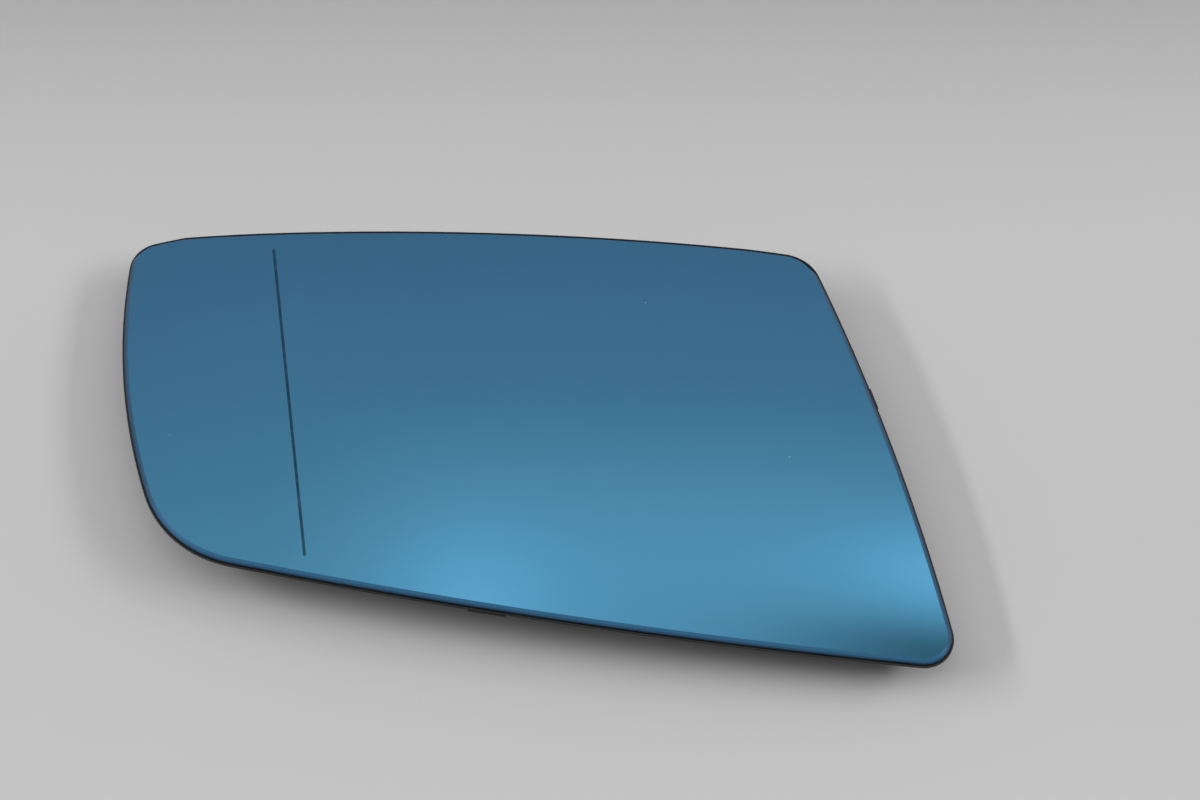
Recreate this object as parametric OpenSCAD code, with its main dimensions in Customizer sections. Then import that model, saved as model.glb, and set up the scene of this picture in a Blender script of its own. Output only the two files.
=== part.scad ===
// Door mirror glass: a convex coated glass with an outer aspheric zone, its heater pad
// and the moulded carrier plate that snaps onto the mirror's tilt actuator.
// Millimetres. +X runs towards the car, +Y towards the top edge, +Z out of the glass face.
// The origin lies on the collar's axis, in the plane of the collar's foot.

/* [Glass outline] */
// Nominal width of the glass
glass_w = 180; // [160:1:200]
// Nominal height of the glass
glass_h = 106; // [96:1:118]
// Bow of the outer top shoulder
outer_shoulder_bow = 0.05; // [0.03:0.01:0.2]
// Bow of the top edge
top_bow = 1.9; // [1.5:0.1:3]
// Bow of the inner top shoulder
inner_shoulder_bow = 0.05; // [0.03:0.01:0.1]
// Bow of the edge beside the car
inner_bow = 2.3; // [1.5:0.1:4]
// Bow of the bottom edge
bottom_bow = 3.8; // [2.5:0.1:6]
// Bow of the outer edge
outer_bow = 5.3; // [4:0.1:7]
// Radius of the outer top corner
outer_top_r = 6; // [4:0.5:7]
// Radius between the outer shoulder and the top edge
outer_shoulder_r = 10.5; // [8:0.5:14]
// Radius between the top edge and the inner shoulder
inner_shoulder_r = 40; // [20:1:60]
// Radius of the inner top corner
inner_top_r = 8.8; // [6:0.2:10]
// Radius of the inner bottom corner
inner_bottom_r = 6.4; // [5:0.2:10]
// Radius of the outer bottom corner
outer_bottom_r = 27.5; // [20:0.5:30]

/* [Glass] */
// Thickness of the glass
glass_t = 2; // [1.8:0.1:2.5]
// Radius of curvature of the main zone
main_r = 1260; // [1200:10:1400]
// Extra drop of the aspheric zone at the glass's outer end
aspheric_drop = 0.95; // [0.5:0.05:1.5]
// Width of the ground bevel round the face
bevel_w = 1; // [0.6:0.1:1.4]
// Depth of the ground bevel at the edge
bevel_depth = 0.8; // [0.5:0.1:1]
// Distance of the dividing line from the collar's axis
line_offset = 51.4; // [46:0.2:56]
// Length of the dividing line
line_length = 79; // [70:0.5:82]
// Width of the dividing line
line_w = 0.65; // [0.4:0.05:0.9]
// Depth of the dividing line
line_depth = 0.05; // [0.03:0.01:0.1]
// Lean of the dividing line, in degrees
line_lean = 8.7; // [0:0.1:10]
// Distance of the dividing line's middle above the collar's axis
line_rise = 9.1; // [6:0.1:12]

/* [Heater pad] */
// Inset of the pad from the glass edge
pad_inset = 3.5; // [3:0.1:5]
// Thickness of the adhesive under the glass
glass_adhesive_t = 0.15; // [0.1:0.05:0.3]
// Thickness of the heater's carrier film
film_t = 0.2; // [0.1:0.05:0.3]
// Thickness of the etched heater foil
track_t = 0.1; // [0.05:0.05:0.2]
// Inset of the foil from the film's edge
track_inset = 2.5; // [2:0.1:4]
// Spacing of the foil's etched slits
slit_pitch = 8; // [6:0.5:12]
// Width of an etched slit
slit_w = 0.8; // [0.5:0.1:1.2]
// Length of foil left at the end of a slit
slit_land = 6; // [4:0.5:8]
// Thickness of the foam adhesive on the carrier
foam_t = 0.8; // [0.5:0.1:1.2]

/* [Carrier plate] */
// Thickness of the carrier's skin
skin_t = 1.8; // [1.5:0.1:2.5]
// Inset of the skin's lower edge from the glass edge
skin_inset = 2.4; // [1.5:0.1:3]
// Width of the lip round the glass
lip_w = 0.45; // [0.3:0.05:1]
// Depth of the lip's top below the glass face
lip_depth = 1.25; // [1:0.05:1.6]
// Thickness of the shelf under the glass edge
shelf_t = 0.4; // [0.3:0.05:0.8]
// Inset of the tray's wall from the glass edge, on its outside
tray_inset = 0.9; // [0.6:0.1:1.2]
// Clearance between the glass edge and the lip
edge_gap = 0.05; // [0.03:0.01:0.2]
// Clearance between the pad's edge and the tray
pad_gap = 0.2; // [0.1:0.05:0.4]
// Thickness of the ribs
rib_t = 1.2; // [1:0.1:2]
// Height of the ribs below the skin
rib_h = 2; // [1:0.1:2.6]
// Inset of the rim rib from the glass edge
rim_rib_inset = 5.2; // [4.5:0.1:6]
// Number of radial ribs
rib_count = 16; // [8:1:24]

/* [Snap collar] */
// Depth of the collar below the skin, on its axis
collar_depth = 9.4; // [8:0.1:14]
// Outer radius of the collar
collar_r = 33.5; // [32.5:0.1:36]
// Thickness of the collar's wall
collar_t = 2.2; // [1.8:0.1:2.6]
// Radius that the snap hooks close on
hook_r = 30.1; // [29.5:0.1:30.6]
// Height of the hooks' land
hook_land = 1.2; // [0.8:0.1:2]
// Height of the hooks' land above the foot
hook_z = 1.8; // [1.6:0.1:3]
// Height of each slope beside the land
hook_slope = 1; // [0.6:0.1:1.2]
// Number of snap fingers
finger_count = 8; // [6:1:10]
// Width of a snap finger
finger_w = 9.5; // [8:0.1:12]
// Width of the slots beside a finger
finger_slot = 1.2; // [0.8:0.1:2]
// Distance that a finger stops short of the foot
finger_short = 0.6; // [0.3:0.1:1]
// Height of the slots' upper end above the foot
finger_slot_z = 7.5; // [5:0.1:7.8]

/* [Terminals] */
// Distance of the terminals from the collar's axis
terminal_x = 54; // [50:0.5:58]
// Spacing of the two terminals
terminal_pitch = 22; // [18:0.5:26]
// Width of a terminal blade
blade_w = 6.3; // [4.8:0.1:6.3]
// Thickness of a terminal blade
blade_t = 0.8; // [0.5:0.1:0.8]
// Height of a blade below its foot
blade_h = 8; // [6:0.1:8.5]
// Length of a blade's foot
blade_foot = 5.6; // [5:0.1:6.4]
// Diameter of the hole near a blade's tip
blade_hole_d = 1.6; // [1.2:0.1:2]
// Length of the taper at a blade's tip
blade_taper = 1.2; // [0.8:0.1:1.6]
// Diameter of a rivet's shank
rivet_d = 1.8; // [1.4:0.1:2.2]
// Diameter of a rivet's head
rivet_head_d = 3.4; // [2.8:0.1:4]
// Height of a rivet's head
rivet_head_h = 0.6; // [0.4:0.1:0.8]
// Clearance between a blade's foot and the foil
seat_gap = 0.03; // [0.02:0.01:0.1]
// Length of a terminal window along X
window_l = 9.4; // [9:0.1:11]
// Width of a terminal window along Y
window_w = 8.4; // [8:0.1:10]
// Radius of a terminal window's corners
window_r = 1; // [0.5:0.1:2]

/* [Lugs] */
// Length of the lug on the bottom edge
bottom_lug_l = 9; // [6:0.5:12]
// Distance of the bottom lug from the collar's axis, along X
bottom_lug_x = -6.8; // [-20:0.1:20]
// Length of the lug on the edge beside the car
inner_lug_l = 5; // [4:0.5:8]
// Distance of the inner lug from the collar's axis, along Y
inner_lug_y = 9.9; // [0:0.1:20]
// Distance that a lug stands out past the lip
lug_out = 0.35; // [0.2:0.05:0.6]
// Depth of a lug below the shelf
lug_depth = 1; // [0.6:0.1:1.4]
// Depth of a lug inwards from the glass edge
lug_in = 3; // [2.6:0.1:4]

/* [Hidden] */
$fn = 96;

// Corners of the glass, clockwise from the outer top one, as shares of half its width and height
corner_shares = [
    [-0.995, 0.955], [-0.867, 0.996], [0.56, 0.912], [0.716, 0.875], [1.021, -1.017], [-0.83, -0.522]
];
// How much further than the surface a cut runs
overrun = 1;
// How far a round edge may lie from its chord
chord_sag = 0.03;
// Least corner radius of an outline that is set inwards
least_r = 2.5;
// Strips that the curved face is made of along X, and its fineness along Y
strip_count = 18;
sweep_fn = 1440;
// How the aspheric zone's drop grows towards the outer end
aspheric_power = 2.5;
// Inner end of the slits, as a share of the distance of the terminals
slit_end_share = 0.76;

corner_r = [
    outer_top_r, outer_shoulder_r, inner_shoulder_r, inner_top_r, inner_bottom_r, outer_bottom_r
];
side_bow = [outer_shoulder_bow, top_bow, inner_shoulder_bow, inner_bow, bottom_bow, outer_bow];
corner_count = len(corner_shares);
corner = [for (share = corner_shares) [share[0] * glass_w / 2, share[1] * glass_h / 2]];

// Depths below the glass face
adhesive_depth = glass_t + glass_adhesive_t;
film_depth = adhesive_depth + film_t;
track_depth = film_depth + track_t;
foam_depth = track_depth + foam_t;
skin_depth = foam_depth + skin_t;
shelf_depth = glass_t + shelf_t;
rib_depth = skin_depth + rib_h;
face_z = skin_depth + collar_depth;

// Reach of the curved face, past the glass on all sides
reach_x = glass_w / 2 + rib_depth;
reach_y = glass_h / 2 + rib_depth;
sweep = asin(reach_y / (main_r - rib_depth - aspheric_drop * 2));
tray_in = pad_inset - pad_gap;
collar_in_r = collar_r - collar_t;
terminal_y = terminal_pitch / 2;

// Outline
function next(i) = (i + 1) % corner_count;
function before(i) = (i + corner_count - 1) % corner_count;

// Centre and radius of the circle that a side follows
function side_circle(a, b, bow) =
    let (
        chord = norm(b - a),
        r = (chord * chord / 4 + bow * bow) / (2 * bow),
        along = (b - a) / chord,
        inward = [along[1], -along[0]]
    )
    [(a + b) / 2 + inward * (r - bow), r];

side = [for (i = [0 : corner_count - 1]) side_circle(corner[i], corner[next(i)], side_bow[i])];

function grown_r(i, grow) = max(corner_r[i] + grow, least_r);

// Centre of the corner's arc, which touches the two sides that meet there
function corner_centre(i, grow) =
    let (
        r = grown_r(i, grow),
        p = side[before(i)],
        q = side[i],
        p_r = p[1] + grow - r,
        q_r = q[1] + grow - r,
        d = norm(q[0] - p[0]),
        a = (p_r * p_r - q_r * q_r + d * d) / (2 * d),
        h = sqrt(max(p_r * p_r - a * a, 0)),
        along = (q[0] - p[0]) / d,
        across = [-along[1], along[0]],
        one = p[0] + a * along + h * across,
        two = p[0] + a * along - h * across
    )
    norm(one - corner[i]) < norm(two - corner[i]) ? one : two;

function heading(v) = atan2(v[1], v[0]);
function turn(v, w) =
    let (d = heading(w) - heading(v))
    d > 180 ? d - 360 : d < -180 ? d + 360 : d;

// Points along an arc, without its last one
function arc(centre, r, from, sweep_angle, steps) = [
    for (k = [0 : steps - 1])
        let (angle = heading(from) + sweep_angle * k / steps)
        centre + r * [cos(angle), sin(angle)]
];
function arc_steps(angle, r) = max(2, ceil(abs(angle) / (2 * acos(1 - chord_sag / r))));

function corner_arc(i, grow) =
    let (
        c = corner_centre(i, grow),
        from = c - side[before(i)][0],
        swing = turn(from, c - side[i][0]),
        first = corner_centre(i, 0),
        first_swing = turn(first - side[before(i)][0], first - side[i][0])
    )
    arc(c, grown_r(i, grow), from, swing, arc_steps(first_swing, corner_r[i]));

function side_arc(i, grow) =
    let (
        from = corner_centre(i, grow) - side[i][0],
        to = corner_centre(next(i), grow) - side[i][0],
        first_from = corner_centre(i, 0) - side[i][0],
        first_to = corner_centre(next(i), 0) - side[i][0]
    )
    arc(side[i][0], side[i][1] + grow, from, turn(from, to),
        arc_steps(turn(first_from, first_to), side[i][1]));

function raw_outline(grow) = [
    for (i = [0 : corner_count - 1])
        for (p = concat(corner_arc(i, grow), side_arc(i, grow)))
            p
];
function middle(points) = [
    for (axis = [0, 1])
        let (values = [for (p = points) p[axis]])
        (min(values) + max(values)) / 2
];
outline_middle = middle(raw_outline(0));

// The glass's outline, grown outwards by a distance, with its box centred on the collar's axis
function outline(grow) = [for (p = raw_outline(grow)) p - outline_middle];

// Where an outline crosses the X axis at its outer end
function outer_crossing(points) = min([
    for (i = [0 : len(points) - 1])
        let (p = points[i], q = points[(i + 1) % len(points)])
        if (p[1] * q[1] <= 0)
            p[1] == q[1] ? p[0] : p[0] + (q[0] - p[0]) * p[1] / (p[1] - q[1])
]);

module outline_shape(grow = 0) {
    polygon(outline(grow));
}

module outline_ring(outside, inside) {
    difference() {
        outline_shape(outside);
        outline_shape(inside);
    }
}

// Curved face
// Drop of the face below its highest point, along X
function face_drop(x) =
    let (into = max(0, (-line_offset - x) / (glass_w / 2 - line_offset)))
    main_r - sqrt(main_r * main_r - x * x) + aspheric_drop * pow(into, aspheric_power);

// Height of the face above the foot
function face_height(p) =
    let (ring_r = main_r - face_drop(p[0]))
    face_z - main_r + sqrt(ring_r * ring_r - p[1] * p[1]);

strip_x = [for (i = [0 : strip_count]) -reach_x + 2 * reach_x * i / strip_count];

// A curved sheet between two depths below the glass face
module curved_sheet(top, bottom) {
    upper = [for (x = strip_x) [main_r - face_drop(x) - top, x]];
    lower = [for (i = [strip_count : -1 : 0]) [main_r - face_drop(strip_x[i]) - bottom, strip_x[i]]];
    translate([0, 0, face_z - main_r])
        rotate([0, 90, 0])
            rotate_extrude(angle = 2 * sweep, start = 180 - sweep, $fn = sweep_fn)
                polygon(concat(upper, lower));
}

// A curved sheet cut to a flat shape
module curved_part(top, bottom) {
    intersection() {
        curved_sheet(top, bottom);
        linear_extrude(height = face_z + overrun)
            children();
    }
}

// Puts a piece on the face's sphere at a depth, square to the face
module on_face(x, y, depth) {
    translate([0, 0, face_z - main_r])
        rotate([-asin(y / main_r), asin(x / main_r), 0])
            translate([0, 0, main_r - depth])
                children();
}

module at_terminals() {
    for (side_y = [-terminal_y, terminal_y])
        translate([terminal_x, side_y])
            children();
}

module window_shape(grow = 0) {
    offset_l = window_l / 2 - window_r;
    offset_w = window_w / 2 - window_r;
    intersection() {
        square([window_l + 2 * grow, window_w + 2 * grow], center = true);
        union() {
            square([2 * offset_l, window_w + 2 * grow], center = true);
            square([window_l + 2 * grow, 2 * offset_w], center = true);
            for (x = [-offset_l, offset_l], y = [-offset_w, offset_w])
                translate([x, y])
                    circle(r = window_r + grow, $fn = 32);
        }
    }
}

// Glass
// A wedge that runs round the outline and grinds the bevel
module bevel_wedge() {
    fall = bevel_depth / bevel_w;
    inner = outline(-bevel_w - overrun);
    outer = outline(overrun);
    base = outline(0);
    count = len(base);
    top = [for (p = base) face_height(p) + overrun * fall];
    bottom = [for (p = base) face_height(p) - bevel_depth - overrun * fall];
    points = [
        for (i = [0 : count - 1]) [inner[i][0], inner[i][1], top[i]],
        for (i = [0 : count - 1]) [outer[i][0], outer[i][1], bottom[i]],
        for (i = [0 : count - 1]) [outer[i][0], outer[i][1], top[i]]
    ];
    faces = [
        for (ring = [0 : 2], i = [0 : count - 1])
            let (j = (i + 1) % count, other = (ring + 1) % 3)
            each [
                [ring * count + i, other * count + j, other * count + i],
                [ring * count + i, ring * count + j, other * count + j]
            ]
    ];
    polyhedron(points = points, faces = faces);
}

module dividing_line() {
    curved_part(-overrun, line_depth)
        translate([-line_offset, line_rise])
            rotate(line_lean)
                square([line_w, line_length], center = true);
}

module mirror_glass() {
    color("#3f78a0")
        difference() {
            curved_part(0, glass_t)
                outline_shape();
            bevel_wedge();
            dividing_line();
        }
}

// Heater pad
module rivet_holes() {
    for (side_y = [-terminal_y, terminal_y])
        at_terminal(side_y)
            translate([0, 0, -overrun])
                cylinder(d = rivet_d, h = 2 * overrun);
}

module heater_adhesive() {
    color("#d8d4c8")
        curved_part(glass_t, adhesive_depth)
            outline_shape(-pad_inset);
}

module heater_film() {
    color("#c9a54a")
        difference() {
            curved_part(adhesive_depth, film_depth)
                outline_shape(-pad_inset);
            rivet_holes();
        }
}

// A slit in the upper half of the foil (way 1) or the lower (way -1), cut from the foil's edge
module edge_slit(x, way) {
    translate([x, way * (slit_land + glass_h / 2)])
        square([slit_w, glass_h], center = true);
}

// A slit cut from the foil's middle, which stops short of the edge
module middle_slit(x, way, inset) {
    intersection() {
        translate([x, way * (glass_h - slit_w) / 2])
            square([slit_w, glass_h], center = true);
        translate([0, -way * slit_land])
            union() {
                outline_shape(-inset);
                translate([0, -way * glass_h / 2])
                    square([2 * glass_w, glass_h], center = true);
            }
    }
}

module heater_track() {
    inset = pad_inset + track_inset;
    slit_end = terminal_x * slit_end_share;
    foil_end = outer_crossing(outline(-inset));
    slit_count = floor((slit_end - foil_end - 2 * slit_land) / slit_pitch) + 1;
    color("#b9bcc0")
        difference() {
            curved_part(film_depth, track_depth)
                outline_shape(-inset);
            rivet_holes();
            for (k = [0 : 2 : slit_count - 1], way = [-1, 1])
                linear_extrude(height = face_z)
                    middle_slit(slit_end - k * slit_pitch, way, inset);
            for (k = [1 : 2 : slit_count - 1], way = [-1, 1])
                linear_extrude(height = face_z)
                    edge_slit(slit_end - k * slit_pitch, way);
            linear_extrude(height = face_z)
                translate([foil_end + slit_land, -slit_w / 2])
                    square([glass_w, slit_w]);
        }
}

module carrier_adhesive() {
    color("#2c2d2f")
        curved_part(track_depth, foam_depth)
            difference() {
                outline_shape(-pad_inset);
                at_terminals()
                    window_shape(pad_gap);
            }
}

// Terminals
module terminal_blade() {
    foot_t = blade_t / 2;
    difference() {
        union() {
            translate([-blade_foot / 2, -blade_w / 2, -foot_t])
                cube([blade_foot, blade_w, foot_t]);
            translate([blade_foot / 2 - blade_t, 0, -blade_h])
                rotate([90, 0, 90])
                    linear_extrude(height = blade_t)
                        polygon([
                            [-blade_w / 2, blade_h], [-blade_w / 2, blade_taper],
                            [-blade_w / 2 + blade_taper / 2, 0], [blade_w / 2 - blade_taper / 2, 0],
                            [blade_w / 2, blade_taper], [blade_w / 2, blade_h]
                        ]);
        }
        translate([0, 0, -foot_t - overrun])
            cylinder(d = rivet_d, h = foot_t + 2 * overrun);
        translate([0, 0, -blade_h + blade_w / 2])
            rotate([0, 90, 0])
                cylinder(d = blade_hole_d, h = blade_foot);
    }
}

module terminal_rivet() {
    foot_t = blade_t / 2;
    shank_h = foot_t + seat_gap + track_t + film_t;
    translate([0, 0, -foot_t])
        cylinder(d = rivet_d, h = shank_h);
    translate([0, 0, -foot_t - rivet_head_h])
        cylinder(d1 = rivet_head_d - rivet_head_h, d2 = rivet_head_d, h = rivet_head_h);
}

module at_terminal(side_y) {
    on_face(terminal_x, side_y, track_depth + seat_gap)
        children();
}

module terminal_blade_upper() {
    color("#c8a44c")
        at_terminal(terminal_y)
            terminal_blade();
}

module terminal_blade_lower() {
    color("#c8a44c")
        at_terminal(-terminal_y)
            terminal_blade();
}

module terminal_rivet_upper() {
    color("#b98f3e")
        at_terminal(terminal_y)
            terminal_rivet();
}

module terminal_rivet_lower() {
    color("#b98f3e")
        at_terminal(-terminal_y)
            terminal_rivet();
}

// Carrier plate
module rib_pattern() {
    outline_ring(-rim_rib_inset, -rim_rib_inset - rib_t);
    intersection() {
        outline_shape(-rim_rib_inset);
        for (k = [0 : rib_count - 1])
            rotate(360 * (k + 1 / 2) / rib_count)
                translate([collar_r - rib_t, -rib_t / 2])
                    square([glass_w, rib_t]);
    }
    at_terminals()
        window_shape(rib_t);
}

module tray() {
    // Lip beside the glass edge and shelf under it
    curved_part(lip_depth, glass_t)
        outline_ring(edge_gap + lip_w, edge_gap);
    curved_part(glass_t, shelf_depth)
        outline_ring(edge_gap + lip_w, -tray_in);
    // Wall of the tray that the pad lies in
    curved_part(shelf_depth, foam_depth)
        outline_ring(-tray_inset, -tray_in);
    curved_part(foam_depth, skin_depth)
        outline_shape(-skin_inset);
    curved_part(foam_depth, (foam_depth + skin_depth) / 2)
        outline_ring(-tray_inset, -skin_inset);
}

module lugs() {
    curved_part(shelf_depth, shelf_depth + lug_depth)
        intersection() {
            outline_ring(edge_gap + lip_w + lug_out, -lug_in);
            union() {
                translate([bottom_lug_x - bottom_lug_l / 2, -glass_h])
                    square([bottom_lug_l, glass_h]);
                translate([0, inner_lug_y - inner_lug_l / 2])
                    square([glass_w, inner_lug_l]);
            }
        }
}

module finger_sectors(width, height) {
    for (k = [0 : finger_count - 1])
        rotate(360 * k / finger_count)
            translate([hook_r - overrun, -width / 2, 0])
                cube([collar_r - hook_r + 2 * overrun, width, height]);
}

module collar() {
    top_z = face_z - skin_depth + skin_t / 2;
    difference() {
        cylinder(r = collar_r, h = top_z - skin_t);
        translate([0, 0, -overrun])
            cylinder(r = collar_in_r, h = top_z + overrun);
        // Slots beside the fingers, and the fingers' shorter ends
        difference() {
            translate([0, 0, -overrun])
                finger_sectors(finger_w + 2 * finger_slot, finger_slot_z + overrun);
            translate([0, 0, -2 * overrun])
                finger_sectors(finger_w, finger_slot_z + 3 * overrun);
        }
        translate([0, 0, -overrun])
            finger_sectors(finger_w, finger_short + overrun);
    }
    intersection() {
        rotate_extrude()
            polygon([
                [collar_in_r, hook_z - hook_slope], [hook_r, hook_z],
                [hook_r, hook_z + hook_land], [collar_in_r, hook_z + hook_land + hook_slope],
                [collar_r - collar_t / 2, hook_z + hook_land + hook_slope],
                [collar_r - collar_t / 2, hook_z - hook_slope]
            ]);
        finger_sectors(finger_w, finger_slot_z);
    }
}

module carrier_plate() {
    color("#1b1c1e")
        difference() {
            union() {
                tray();
                lugs();
                curved_part(skin_depth - skin_t / 2, rib_depth)
                    rib_pattern();
                collar();
                // Band that carries the collar on the skin
                intersection() {
                    curved_sheet(skin_depth - skin_t / 2, skin_depth + 2 * skin_t);
                    translate([0, 0, finger_slot_z])
                        difference() {
                            cylinder(r = collar_r, h = face_z);
                            translate([0, 0, -overrun])
                                cylinder(r = collar_in_r, h = face_z + 2 * overrun);
                        }
                }
            }
            linear_extrude(height = face_z + overrun)
                at_terminals()
                    window_shape();
        }
}

mirror_glass();
heater_adhesive();
heater_film();
heater_track();
carrier_adhesive();
carrier_plate();
terminal_blade_upper();
terminal_blade_lower();
terminal_rivet_upper();
terminal_rivet_lower();
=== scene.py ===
import math

import bmesh
import bpy
import numpy as np
from mathutils import Matrix, Vector
from mathutils.geometry import delaunay_2d_cdt


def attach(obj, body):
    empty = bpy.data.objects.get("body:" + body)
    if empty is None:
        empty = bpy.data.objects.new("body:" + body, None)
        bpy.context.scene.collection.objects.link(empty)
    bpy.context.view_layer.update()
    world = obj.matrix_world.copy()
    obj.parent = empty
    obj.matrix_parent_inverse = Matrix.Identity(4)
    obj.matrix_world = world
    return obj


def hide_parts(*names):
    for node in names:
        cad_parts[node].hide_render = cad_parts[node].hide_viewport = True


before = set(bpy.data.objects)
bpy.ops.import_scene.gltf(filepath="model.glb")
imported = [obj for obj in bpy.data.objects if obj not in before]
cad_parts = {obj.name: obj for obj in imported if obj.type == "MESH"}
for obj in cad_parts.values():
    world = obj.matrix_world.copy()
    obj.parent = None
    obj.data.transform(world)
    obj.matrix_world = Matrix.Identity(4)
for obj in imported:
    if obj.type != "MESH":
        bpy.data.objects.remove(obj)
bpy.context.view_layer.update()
mm = 0.001

# Outline of the glass, seen from the front: six corners and the bowed sides between them
outline = {
    "width": 180 * mm,
    "height": 106 * mm,
    # clockwise from the outer top corner: shares of half the width and height, radius, bow of the next side
    "corners": [
        (-0.995, 0.955, 6 * mm, 0.05 * mm),
        (-0.867, 0.996, 10.5 * mm, 1.9 * mm),
        (0.56, 0.912, 40 * mm, 0.05 * mm),
        (0.716, 0.875, 8.8 * mm, 2.3 * mm),
        (1.021, -1.017, 6.4 * mm, 3.8 * mm),
        (-0.83, -0.522, 27.5 * mm, 5.3 * mm),
    ],
    "leastRadius": 2.5 * mm,  # of a corner that is set inwards
    "arcStep": math.radians(4),
    "sideStep": 1.5 * mm,
}
cornerCount = len(outline["corners"])
cornerPlaces = [
    Vector((c[0] * outline["width"] / 2, c[1] * outline["height"] / 2)) for c in outline["corners"]
]


def sideCircle(i):
    a, b = cornerPlaces[i], cornerPlaces[(i + 1) % cornerCount]
    bow = outline["corners"][i][3]
    chord = b - a
    radius = (chord.length_squared / 4 + bow * bow) / (2 * bow)
    inward = Vector((chord.y, -chord.x)).normalized()
    return (a + b) / 2 + inward * (radius - bow), radius


sides = [sideCircle(i) for i in range(cornerCount)]


def cornerRadius(i, grow):
    return max(outline["corners"][i][2] + grow, outline["leastRadius"])


def cornerCentre(i, grow):
    r = cornerRadius(i, grow)
    (p, pRadius), (q, qRadius) = sides[i - 1], sides[i]
    pRadius, qRadius = pRadius + grow - r, qRadius + grow - r
    between = q - p
    along = (pRadius**2 - qRadius**2 + between.length_squared) / (2 * between.length)
    off = math.sqrt(max(pRadius**2 - along**2, 0))
    unit = between.normalized()
    across = Vector((-unit.y, unit.x))
    places = [p + unit * along + across * off, p + unit * along - across * off]
    return min(places, key=lambda place: (place - cornerPlaces[i]).length)


def swing(start, end):
    angle = math.atan2(end.y, end.x) - math.atan2(start.y, start.x)
    return (angle + math.pi) % (2 * math.pi) - math.pi


def arcPoints(centre, radius, start, angle, count):
    first = math.atan2(start.y, start.x)
    turns = [first + angle * k / count for k in range(count)]
    return [centre + radius * Vector((math.cos(t), math.sin(t))) for t in turns]


def rawLoop(grow):
    points = []
    for i in range(cornerCount):
        centre, radius = sides[i]
        j = (i + 1) % cornerCount
        here, flatHere = cornerCentre(i, grow), cornerCentre(i, 0)
        there, flatThere = cornerCentre(j, grow), cornerCentre(j, 0)
        turn = swing(flatHere - sides[i - 1][0], flatHere - centre)
        start = here - sides[i - 1][0]
        steps = math.ceil(abs(turn) / outline["arcStep"]) + 1
        points += arcPoints(here, cornerRadius(i, grow), start, swing(start, here - centre), steps)
        start, end = here - centre, there - centre
        length = abs(swing(flatHere - centre, flatThere - centre)) * radius
        steps = math.ceil(length / outline["sideStep"])
        points += arcPoints(centre, radius + grow, start, swing(start, end), steps)
    return points


loopAtZero = rawLoop(0)
loopMiddle = Vector([
    (min(p[axis] for p in loopAtZero) + max(p[axis] for p in loopAtZero)) / 2 for axis in (0, 1)
])


def outlineLoop(grow):
    return [p - loopMiddle for p in reversed(rawLoop(grow))]  # anticlockwise


# The face: a sphere, with an outer zone that falls away faster
face = {
    "top": 14.448 * mm,
    "radius": 1260 * mm,
    "extraDrop": 0.95 * mm,
    "power": 2.5,
    "lineOffset": 51.4 * mm,
    "halfWidth": outline["width"] / 2,
}


def faceHeight(x, y):
    into = max(0, (-face["lineOffset"] - x) / (face["halfWidth"] - face["lineOffset"]))
    ring = math.sqrt(face["radius"] ** 2 - x * x) - face["extraDrop"] * into ** face["power"]
    return face["top"] - face["radius"] + math.sqrt(ring * ring - y * y)


def faceNormal(x, y):
    step = 0.5 * mm
    slopeX = (faceHeight(x + step, y) - faceHeight(x - step, y)) / (2 * step)
    slopeY = (faceHeight(x, y + step) - faceHeight(x, y - step)) / (2 * step)
    return Vector((-slopeX, -slopeY, 1)).normalized()


# Node helpers, for geometry and shader trees alike
def put(tree, socket, value):
    if isinstance(value, bpy.types.NodeSocket):
        tree.links.new(value, socket)
    else:
        socket.default_value = value


def maths(tree, operation, *values):
    node = tree.nodes.new("ShaderNodeMath")
    node.operation = operation
    for socket, value in zip(node.inputs, values):
        put(tree, socket, value)
    return node.outputs[0]


def addNode(tree, kind, inputs=None, **settings):
    node = tree.nodes.new(kind)
    for name, value in settings.items():
        setattr(node, name, value)
    for name, value in (inputs or {}).items():
        put(tree, node.inputs[name], value)
    return node


def newTree(name, sockets):
    tree = bpy.data.node_groups.new(name, "GeometryNodeTree")
    tree.interface.new_socket("Geometry", in_out="OUTPUT", socket_type="NodeSocketGeometry")
    tree.interface.new_socket("Geometry", in_out="INPUT", socket_type="NodeSocketGeometry")
    for socketName, kind in sockets:
        tree.interface.new_socket(socketName, in_out="INPUT", socket_type="NodeSocket" + kind)
    return tree, tree.nodes.new("NodeGroupInput").outputs, tree.nodes.new("NodeGroupOutput").inputs


def endTree(tree, out, geometry, material):
    whole = addNode(tree, "GeometryNodeRealizeInstances", {"Geometry": geometry})
    painted = addNode(tree, "GeometryNodeSetMaterial", {"Geometry": whole.outputs[0], "Material": material})
    put(tree, out["Geometry"], painted.outputs[0])


def settle(obj):
    graph = bpy.context.evaluated_depsgraph_get()
    mesh = bpy.data.meshes.new_from_object(obj.evaluated_get(graph), depsgraph=graph)
    obj.modifiers.clear()
    obj.data = mesh
    return obj


def runTree(obj, tree, values):
    modifier = obj.modifiers.new(tree.name, "NODES")
    modifier.node_group = tree
    for item in tree.interface.items_tree:
        if item.in_out == "INPUT" and item.name in values:
            modifier[item.identifier] = values[item.name]
    return settle(obj)


# Mesh helpers. Loops are lists of flat points; a section is a list of (grow, z) or (u, v)
def turnOutwards(obj):
    work = bmesh.new()
    work.from_mesh(obj.data)
    bmesh.ops.recalc_face_normals(work, faces=work.faces)
    work.to_mesh(obj.data)
    work.free()
    return obj


def newObject(name, points, faces, closed=True):
    mesh = bpy.data.meshes.new(name)
    mesh.from_pydata(points, [], faces)
    obj = bpy.data.objects.new(name, mesh)
    bpy.context.scene.collection.objects.link(obj)
    return turnOutwards(obj) if closed else obj


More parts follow.
